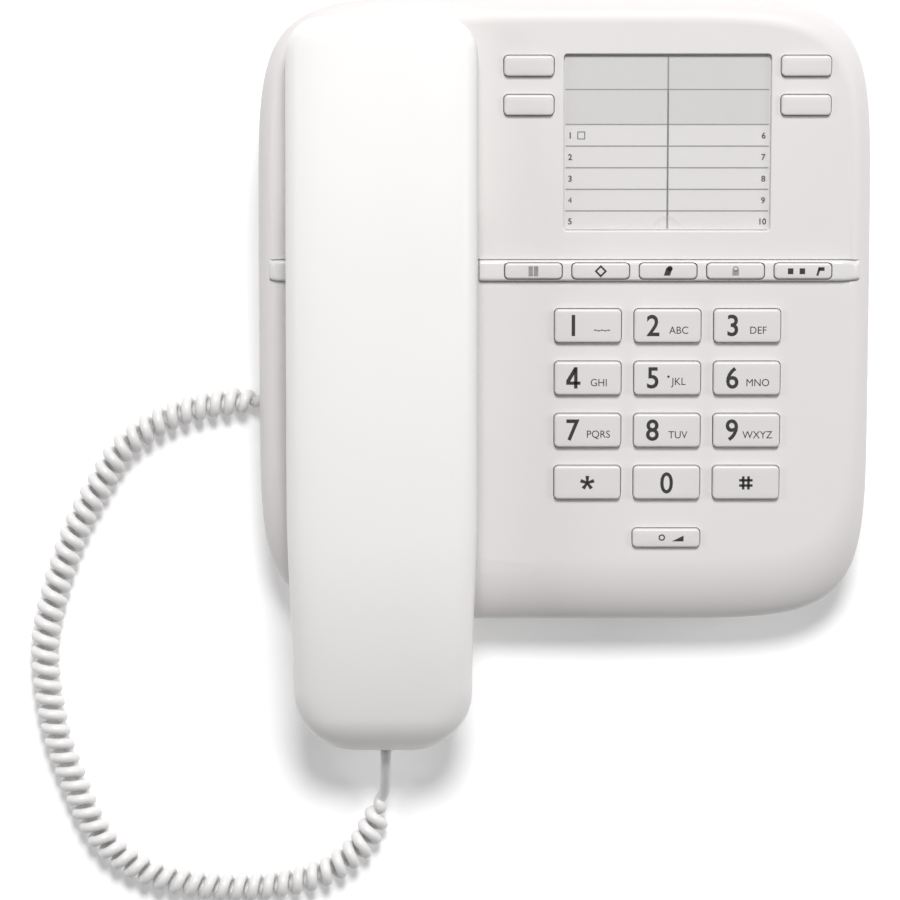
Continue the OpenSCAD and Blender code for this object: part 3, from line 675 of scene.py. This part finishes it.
def bar_section(x, top, half):
    """A cross-section of the trim bar: flat foot, rounded shoulders."""
    shoulder = min(0.9, half * 0.4, (top + BAR_GROOVE) * 0.5)
    ring = [(x, half, -BAR_GROOVE), (x, half, top - shoulder)]
    for i in range(1, 6):
        a = math.pi / 2 * i / 5
        ring.append((x, half - shoulder * (1 - math.cos(a)), top - shoulder * (1 - math.sin(a))))
    ring += [(x, y * 0.5, top + 0.05) for y in (half, -half)]
    ring += [(px, -py, pz) for px, py, pz in reversed(ring[:7])]
    return ring


LEFT_END, RIGHT_END = 3.0, 6.0


def bar_rings(x0, x1, round_left, round_right):
    half = BAR_H / 2 - FIT / 2
    rings = []
    turns = [math.pi / 2 * i / 6 for i in range(7)]

    def section(x, a):
        fall = 1 - math.cos(a)
        return bar_section(x, BAR_RISE - 2.0 * fall, half - 0.9 * fall)

    if round_left:
        rings += [section(x0 + LEFT_END * (1 - math.sin(a)), a) for a in reversed(turns)]
    else:
        rings += [section(x0, 0.4), section(x0 + 0.3, 0)]
    if round_right:
        rings += [section(x1 - RIGHT_END * (1 - math.sin(a)), a) for a in turns]
    else:
        rings += [section(x1 - 0.3, 0), section(x1, 0.4)]
    return rings


def function_bar():
    right = loft(bar_rings(HANDSET_X + CRADLE_HALF + 1.2, BAR_HALF - FIT, False, True))
    left = loft(bar_rings(FIT - BAR_HALF, HANDSET_X - CRADLE_HALF - 0.5, True, False))
    bar = joined("trim_bar", [(on_face(0, FUNCTION_Y, points), faces) for points, faces in (right, left)])
    openings = []
    for _, x, y in function_places():
        levels = [(0, -WALL)] + flare(HOLE_EDGE, BAR_RISE + 0.05)
        rings = prism(FUNCTION_W + 2 * SEEN_GAP, FUNCTION_H + 2 * SEEN_GAP, KEY_CORNER, levels)
        openings.append(on_face_part(x, y, rings))
    cut(bar, joined("openings", openings))
    finish_mesh(bar, MATERIALS["trim"])
    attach(bar, "base")
    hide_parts("function_bar")


ROW_RULES = (14.4, 4.9, -1.0, -6.9, -12.8, -18.7)
ROW_NUMBERS = (1.9, -4.0, -9.9, -15.8, -21.6)
CARD_TOP = CARD_T - RECESS


def index_card():
    w, h = CARD_W - 0.6, CARD_H - 0.6
    points, faces = loft(prism(w, h, 0.7, [(0, -RECESS), (0, CARD_TOP - 0.05), (-0.05, CARD_TOP)]))
    card = add_mesh("index_card", on_face(CARD_X, CARD_Y, points), faces)
    finish_mesh(card, MATERIALS["card"])
    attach(card, "base")
    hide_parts("index_card")
    z = CARD_TOP + 0.03
    # A darker patch over the card's top two rows is painted shade.
    shade_h = h / 2 - ROW_RULES[1]
    shade = [bar_patch(0, ROW_RULES[1] + shade_h / 2, w - 0.3, shade_h - 0.2, z - 0.02)]
    print_and_shade_card("card_top_painted_shade", "card_painted_shade", shade)
    rules_and_shadow_line = [bar_patch(0, v, w - 0.4, 0.36, z) for v in ROW_RULES]
    rules_and_shadow_line.append(bar_patch(0.2, 0, 0.5, h - 0.4, z))
    # This dark strip along the card's top edge is a painted shadow of the recess's rear wall; the lines below
    # it are print.
    rules_and_shadow_line.append(bar_patch(0, h / 2 - 0.25, w - 0.4, 0.5, z))
    print_and_shade_card("card_rules_and_painted_shadow", "rule_and_shadow_ink", rules_and_shadow_line)
    numbers = []
    for row, v in enumerate(ROW_NUMBERS):
        numbers.append(letters(str(row + 1), 2.3, -26.4, v, z, bold=0 if row == 3 else 0.05))
        numbers.append(letters(str(row + 6), 2.3, 26.3, v, z, bold=0.05))
    numbers.append(ring_patch(-23.4, ROW_NUMBERS[0], 1.5, 1.2, z, sides=4, turn=math.pi / 4))
    print_and_shade_card("card_numbers", "label", numbers)


# Lays print on the card, and also the painted shade of its top rows and top edge.
def print_and_shade_card(name, ink_and_shade, marks):
    printed = joined(name, [(on_face(CARD_X, CARD_Y, points), faces) for points, faces in marks])
    finish_mesh(printed, MATERIALS[ink_and_shade])
    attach(printed, "base")


def index_window():
    w, h = CARD_W - 0.4, CARD_H - 0.4
    bottom = 0.05 + CARD_TOP
    levels = [(0, bottom), (0, WINDOW_TOP - 0.25), (-0.07, WINDOW_TOP - 0.07), (-0.25, WINDOW_TOP)]
    points, faces = loft(prism(w, h, 0.8, levels))
    window = add_mesh("index_window_pane", on_face(CARD_X, CARD_Y, points), faces)
    notch = cylinder_part(0, -CARD_H / 2, -3, 3, 4, 48)
    cut(window, joined("notch", [(on_face(CARD_X, CARD_Y, notch[0]), notch[1])]))
    finish_mesh(window, MATERIALS["window"])
    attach(window, "index_window")
    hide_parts("index_window")


# ---- Handset ----

EAR_BLEND, MOUTH_BLEND = (38, 50), (-71.5, -61.5)
HANDLE_GAP, EAR_DEPTH, MOUTH_DEPTH, MOUTH_TAPER = 5, 10, 12, 1.4
MOUTH_CORNER, EAR_CORNER = 17, 10
MOUTH_BEND, TUCK_SIDE, TUCK_REAR = -45, 0.057, 1.9
# The seam: its drop below the back, half its gap, and the chamfer on either shell
SPLIT_DROP, SEAM_HALF, SEAM_UP, SEAM_IN = 10.5, 0.16, 0.2, 0.3
EAR_Y, MIC_Y = 72, -79.5
HANDSET_SCREW_XS, HANDSET_SCREW_Y = (HANDSET_X - 14, HANDSET_X + 14), -80
CORD_X, PLUG_Z, PLUG_HALF_H = -49.2, 15, 3.6
WAIST_DROP, SQUARENESS = 11.5, 2 / 4.5


def back_z(y):
    return 57 + 0.12 * y - 0.0007 * y * y - 0.0022 * max(0, MOUTH_BEND - y) ** 2


def underside_z(y):
    ear = (HANDLE_GAP + EAR_DEPTH) * smooth(*EAR_BLEND, y)
    mouth = (HANDLE_GAP + MOUTH_DEPTH) * (1 - smooth(*MOUTH_BLEND, y))
    return face_z(y) + HANDLE_GAP - ear - mouth


def fall(d, r):
    return 0 if d >= r else r - math.sqrt(max(0, r * r - (r - d) ** 2))


def end_fall(y, front_r, rear_r):
    return fall(y - HANDSET_FRONT, front_r) + fall(HANDSET_REAR - y, rear_r)


def tucked(x, y, z):
    """Below the face's plane the handset is narrower and shorter, so that it fits in the cradle."""
    k = 1 - smooth(1.2, HANDLE_GAP, z - face_z(y))
    narrowed = HANDSET_X + (x - HANDSET_X) * (1 - TUCK_SIDE * k)
    return narrowed, y - TUCK_REAR * k * smooth(75, HANDSET_REAR, y), z


def handset_section(y, upper, count=40):
    """Points round the half of the handset's section above or below its seam."""
    half = HANDSET_W / 2 - MOUTH_TAPER * (1 - smooth(-85, -35, y)) - end_fall(y, MOUTH_CORNER, EAR_CORNER)
    top = back_z(y) - end_fall(y, 9, 6)
    low = underside_z(y) + end_fall(y, 4, 4)
    waist = back_z(y) - WAIST_DROP
    seam = back_z(y) - SPLIT_DROP + (SEAM_HALF if upper else -SEAM_HALF)
    start = math.asin(((seam - waist) / (top - waist)) ** (1 / SQUARENESS))
    stop = math.pi - start
    if not upper:
        start, stop = stop, 2 * math.pi + start
    points = []
    for i in range(count + 1):
        t = start + (stop - start) * i / count
        reach = top - waist if math.sin(t) > 0 else waist - low
        x = HANDSET_X + half * signed_power(math.cos(t), SQUARENESS)
        points.append(tucked(x, y, waist + reach * signed_power(math.sin(t), SQUARENESS)))
    first, last = points[0], points[-1]
    away = SEAM_UP if upper else -SEAM_UP
    points[0] = (first[0], y, first[2] + away)
    points[-1] = (last[0], y, last[2] + away)
    lean = math.copysign(SEAM_IN, first[0] - HANDSET_X)
    return [(first[0] - lean, y, first[2])] + points + [(last[0] + lean, y, last[2])]


def handset_stations():
    ends = [math.radians(a) for a in range(0, 90, 6)]
    front = [HANDSET_FRONT + MOUTH_CORNER * (1 - math.cos(a)) for a in ends]
    rear = [HANDSET_REAR - EAR_CORNER * (1 - math.cos(a)) for a in reversed(ends)]
    between = [y for y in range(-87, 87, 2) if front[-1] + 1 < y < rear[0] - 1]
    return front + between + rear


def handset_part(name, upper):
    rings = [handset_section(y, upper) for y in handset_stations()]
    return add_mesh(name, *loft(rings))


def lens(x, y, r, edge, centre):
    """A shallow dish cutter: wide below the surface, its dome reaching up to centre."""
    levels = [(r, edge - 3)]
    for i in range(9):
        a = math.pi / 2 * i / 9
        levels.append((r * math.cos(a), edge + (centre - edge) * math.sin(a)))
    rings = [[(reach * math.cos(t), reach * math.sin(t), z) for t in turns_round(64)] for reach, z in levels]
    return on_face_part(x, y, rings)


def handset():
    back = handset_part("handset_back", True)
    finish_mesh(back, MATERIALS["handset"], angle=50)
    front = handset_part("handset_front", False)
    ear_plane, mouth_plane = -EAR_DEPTH * math.cos(FACE_TILT), -MOUTH_DEPTH * math.cos(FACE_TILT)
    cut(front, joined("dishes", [lens(HANDSET_X, EAR_Y, 17, ear_plane - 0.2, ear_plane + 1.0),
                                 lens(HANDSET_X, MIC_Y, 11, mouth_plane - 0.2, mouth_plane + 0.6)]))
    holes = []
    for r, number in ((0, 1), (4.5, 6), (9, 12)):
        for a in turns_round(number):
            part = cylinder_part(r * math.cos(a), r * math.sin(a), -12, -6.5, 0.9, 20)
            holes.append((on_face(HANDSET_X, EAR_Y, part[0]), part[1]))
    for x in (-3, 0, 3):
        part = cylinder_part(x, 0, -14, -9, 0.8, 20)
        holes.append((on_face(HANDSET_X, MIC_Y, part[0]), part[1]))
    cut(front, joined("holes", holes))
    recesses = [cylinder_part(x, HANDSET_SCREW_Y, 0, 17, SCREW_BORE) for x in HANDSET_SCREW_XS]
    recesses.append(box_part(span(CORD_X, PLUG_HALF), (HANDSET_FRONT - 1, HANDSET_FRONT + 17),
                             span(PLUG_Z, PLUG_HALF_H)))
    cut(front, joined("recesses", recesses))
    finish_mesh(front, MATERIALS["handset"], angle=50)
    for piece, node in ((back, "handset_outer_shell"), (front, "handset_inner_shell")):
        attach(piece, "handset")
        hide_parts(node)


# ---- Curly cord ----

# Outer and wire diameters, then the pitch, the points for each turn, and the growth at either end
COIL_D, LEAD_D = 8.3, 3.0
COIL_PITCH, COIL_STEPS, COIL_FADE = 4.2, 16, 7
# The coil's middle line from the handset round to the base, and the leads at either end
COIL_ROUTE = [
    (-51, -118.5, 4.8), (-52.5, -124, 4.3), (-55.5, -130, 4.2), (-60, -134.5, 4.2), (-66, -138.5, 4.2),
    (-74, -141, 4.2), (-83, -142.5, 4.2), (-93, -143, 4.2), (-103, -142, 4.2), (-112.5, -140, 4.2),
    (-120.5, -136.5, 4.2), (-127.5, -131, 4.2), (-132.5, -123.5, 4.2), (-137.5, -112, 4.2),
    (-141.5, -101, 4.2), (-144, -89, 4.2), (-145, -79, 4.2), (-144.5, -70, 4.2), (-142, -59, 4.2),
    (-138.5, -48, 4.2), (-134.5, -38.5, 4.2), (-129.5, -29.5, 4.2), (-124, -20.5, 4.2),
    (-117.5, -15, 4.2), (-109.5, -10.5, 4.2), (-99.5, -7.5, 4.2), (-91, -6.3, 4.3), (-84.5, -6.2, 4.8),
]
HANDSET_LEAD = [
    (-49.2, -103.5, 15), (-49.2, -106.5, 15), (-49.2, -110.5, 12.6), (-49.4, -114, 8.6), (-50, -116.5, 6),
]
BASE_LEAD = [(-82.5, -6.2, 5.8), (-80.5, -6.2, 7.6), (-78.1, -6.2, 8.2)]


def cord_path():
    """The wire's own line: a lead, a helix round the coil's route, and a lead."""
    middle = spline(HANDSET_LEAD + COIL_ROUTE + BASE_LEAD, COIL_PITCH / COIL_STEPS)
    lead_in = run_length(HANDSET_LEAD + COIL_ROUTE[:1])
    lead_out = run_length(COIL_ROUTE[-1:] + BASE_LEAD)
    lengths = [0.0]
    for a, b in zip(middle, middle[1:]):
        lengths.append(lengths[-1] + (b - a).length)
    total = lengths[-1]
    radius = (COIL_D - LEAD_D) / 2
    path = []
    for i, (point, s) in enumerate(zip(middle, lengths)):
        along = (middle[min(i + 1, len(middle) - 1)] - middle[max(i - 1, 0)]).normalized()
        across = along.cross(Vector((0, 0, 1))).normalized()
        up = across.cross(along)
        grown = smooth(lead_in - 1, lead_in + COIL_FADE, s)
        grown *= smooth(lead_out - 1, lead_out + COIL_FADE, total - s)
        turn = 2 * math.pi * max(0.0, s - lead_in) / COIL_PITCH
        path.append(point + radius * grown * (math.cos(turn) * across + math.sin(turn) * up))
    return path


def make_cord():
    path = cord_path()
    piece = add_mesh("curly_cord", *tube(path, LEAD_D, 12))
    finish_mesh(piece, MATERIALS["cord"], angle=60)
    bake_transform(piece)
    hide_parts("cord_coil", "cord_lead_handset", "cord_lead_base")


# ---- Small parts ----


def hook_plunger():
    low, high = (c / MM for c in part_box("hook_plunger"))
    top, crown = high.z, 1.5
    levels = [(0, top - 11), (0, top - crown)]
    for i in range(1, 6):
        a = math.pi / 2 * i / 5
        levels.append((-crown * (1 - math.cos(a)), top - crown * (1 - math.sin(a))))
    rings = [[(HANDSET_X + x, HOOK_Y + y, z) for x, y, z in ring]
             for ring in prism(HOOK_W, HOOK_L, 1.6, levels)]
    foot = box_part(span(HANDSET_X, 6), span(HOOK_Y, 4), (low.z, low.z + 1.5))
    piece = joined("hook_button", [loft(rings), foot])
    finish_mesh(piece, MATERIALS["key"])
    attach(piece, "hook_plunger")
    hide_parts("hook_plunger")


FOOT_PLACES = [(-60, -42), (-60, 78), (60, -42), (60, 78)]


def rubber_feet():
    profile = [(4.4, 2.5), (6.5, 2.5), (6.5, 1.0), (6.3, 0.4), (5.8, 0.0), (4.2, 0.0), (3.9, 0.3), (3.6, 0.3),
               (3.3, 0.0), (1.0, 0.0), (0.6, 0.3)]
    feet = []
    for x, y in FOOT_PLACES:
        feet.append(loft([[(x + r * math.cos(t), y + r * math.sin(t), z) for t in turns_round(40)]
                          for r, z in profile]))
    piece = joined("feet", feet)
    finish_mesh(piece, MATERIALS["rubber"])
    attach(piece, "base")
    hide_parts("rubber_feet")


def line_contacts():
    """Four sprung contacts in the line socket."""
    wires = []
    for i in range(4):
        x = LINE_JACK_X + (i - 1.5) * 1.27
        path = [Vector((x, BASE_REAR - back, z)) for back, z in ((20, 11.9), (17, 11.6), (12.5, 9.2))]
        wires.append(tube(path, 0.45, 8))
    piece = joined("line_contacts", wires)
    finish_mesh(piece, MATERIALS["gold"])
    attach(piece, "base")


NODE_MATERIALS = {
    "housing_screws": "steel", "main_board": "board", "board_parts": "black", "board_screws": "steel",
    "keypad_mat": "silicone", "memory_mats": "silicone", "hook_spring": "steel", "hook_switch": "black",
    "base_jack": "black", "line_jack": "black", "ringer": "black", "ear_speaker": "capsule",
    "ear_gasket": "rubber", "microphone": "capsule", "microphone_boot": "rubber", "ballast_bar": "iron",
    "handset_jack": "black", "handset_wires": "wire", "handset_screws": "steel", "plug_handset": "plug",
    "plug_base": "plug",
}


def dress_nodes():
    for node, name in NODE_MATERIALS.items():
        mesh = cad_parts[node].data
        mesh.materials.clear()
        mesh.materials.append(MATERIALS[name])


# ---- Camera, floor and light ----

CAMERA_AT = Vector((-31.35, -20.2, 1225)) * MM
CAMERA_LENS, SENSOR_W = 173.8, 36
FLOOR_HALF, FLOOR_LEVELS = 4000, (-10, -0.2)


def make_camera():
    camera = bpy.data.cameras.new("camera")
    camera.lens = CAMERA_LENS
    camera.sensor_width = SENSOR_W
    camera.clip_start, camera.clip_end = 0.05, 20
    holder = bpy.data.objects.new("camera", camera)
    holder.location = CAMERA_AT
    bpy.context.scene.collection.objects.link(holder)
    bpy.context.scene.camera = holder


def make_stage():
    floor = add_mesh("floor", *box_part(span(0, FLOOR_HALF), span(0, FLOOR_HALF), FLOOR_LEVELS))
    white = material("floor", (0.86, 0.86, 0.86), 0.8, vary=0.004, blotch_scale=3, bump=0.05)
    shader = white.node_tree.nodes["Principled BSDF"]
    shader.inputs["Emission Color"].default_value = (1, 1, 1, 1)
    shader.inputs["Emission Strength"].default_value = 0.22
    finish_mesh(floor, white)


def area_light(name, place, target, size, power):
    light = bpy.data.lights.new(name, "AREA")
    light.shape, light.size, light.energy = "DISK", size, power
    holder = bpy.data.objects.new(name, light)
    holder.location = place
    holder.rotation_euler = (Vector(target) - Vector(place)).to_track_quat("-Z", "Y").to_euler()
    bpy.context.scene.collection.objects.link(holder)


def make_lights():
    world = bpy.data.worlds.new("studio")
    world.use_nodes = True
    world.node_tree.nodes["Background"].inputs["Color"].default_value = (1, 1, 1, 1)
    world.node_tree.nodes["Background"].inputs["Strength"].default_value = 0.10
    bpy.context.scene.world = world
    area_light("rear", (0.1, 1.2, 1.95), (0, 0, 0), 0.8, 49)
    area_light("left", (-1.7, 0.1, 1.2), (0, 0, 0), 0.8, 7)
    area_light("right", (1.7, 0.1, 1.2), (0, 0, 0), 0.8, 9)
    bpy.context.scene.view_settings.view_transform = "Standard"


make_camera()
make_cord()
upper_shell()
lower_shell()
make_keys()
function_bar()
index_card()
index_window()
handset()
hook_plunger()
rubber_feet()
line_contacts()
dress_nodes()
make_stage()
make_lights()
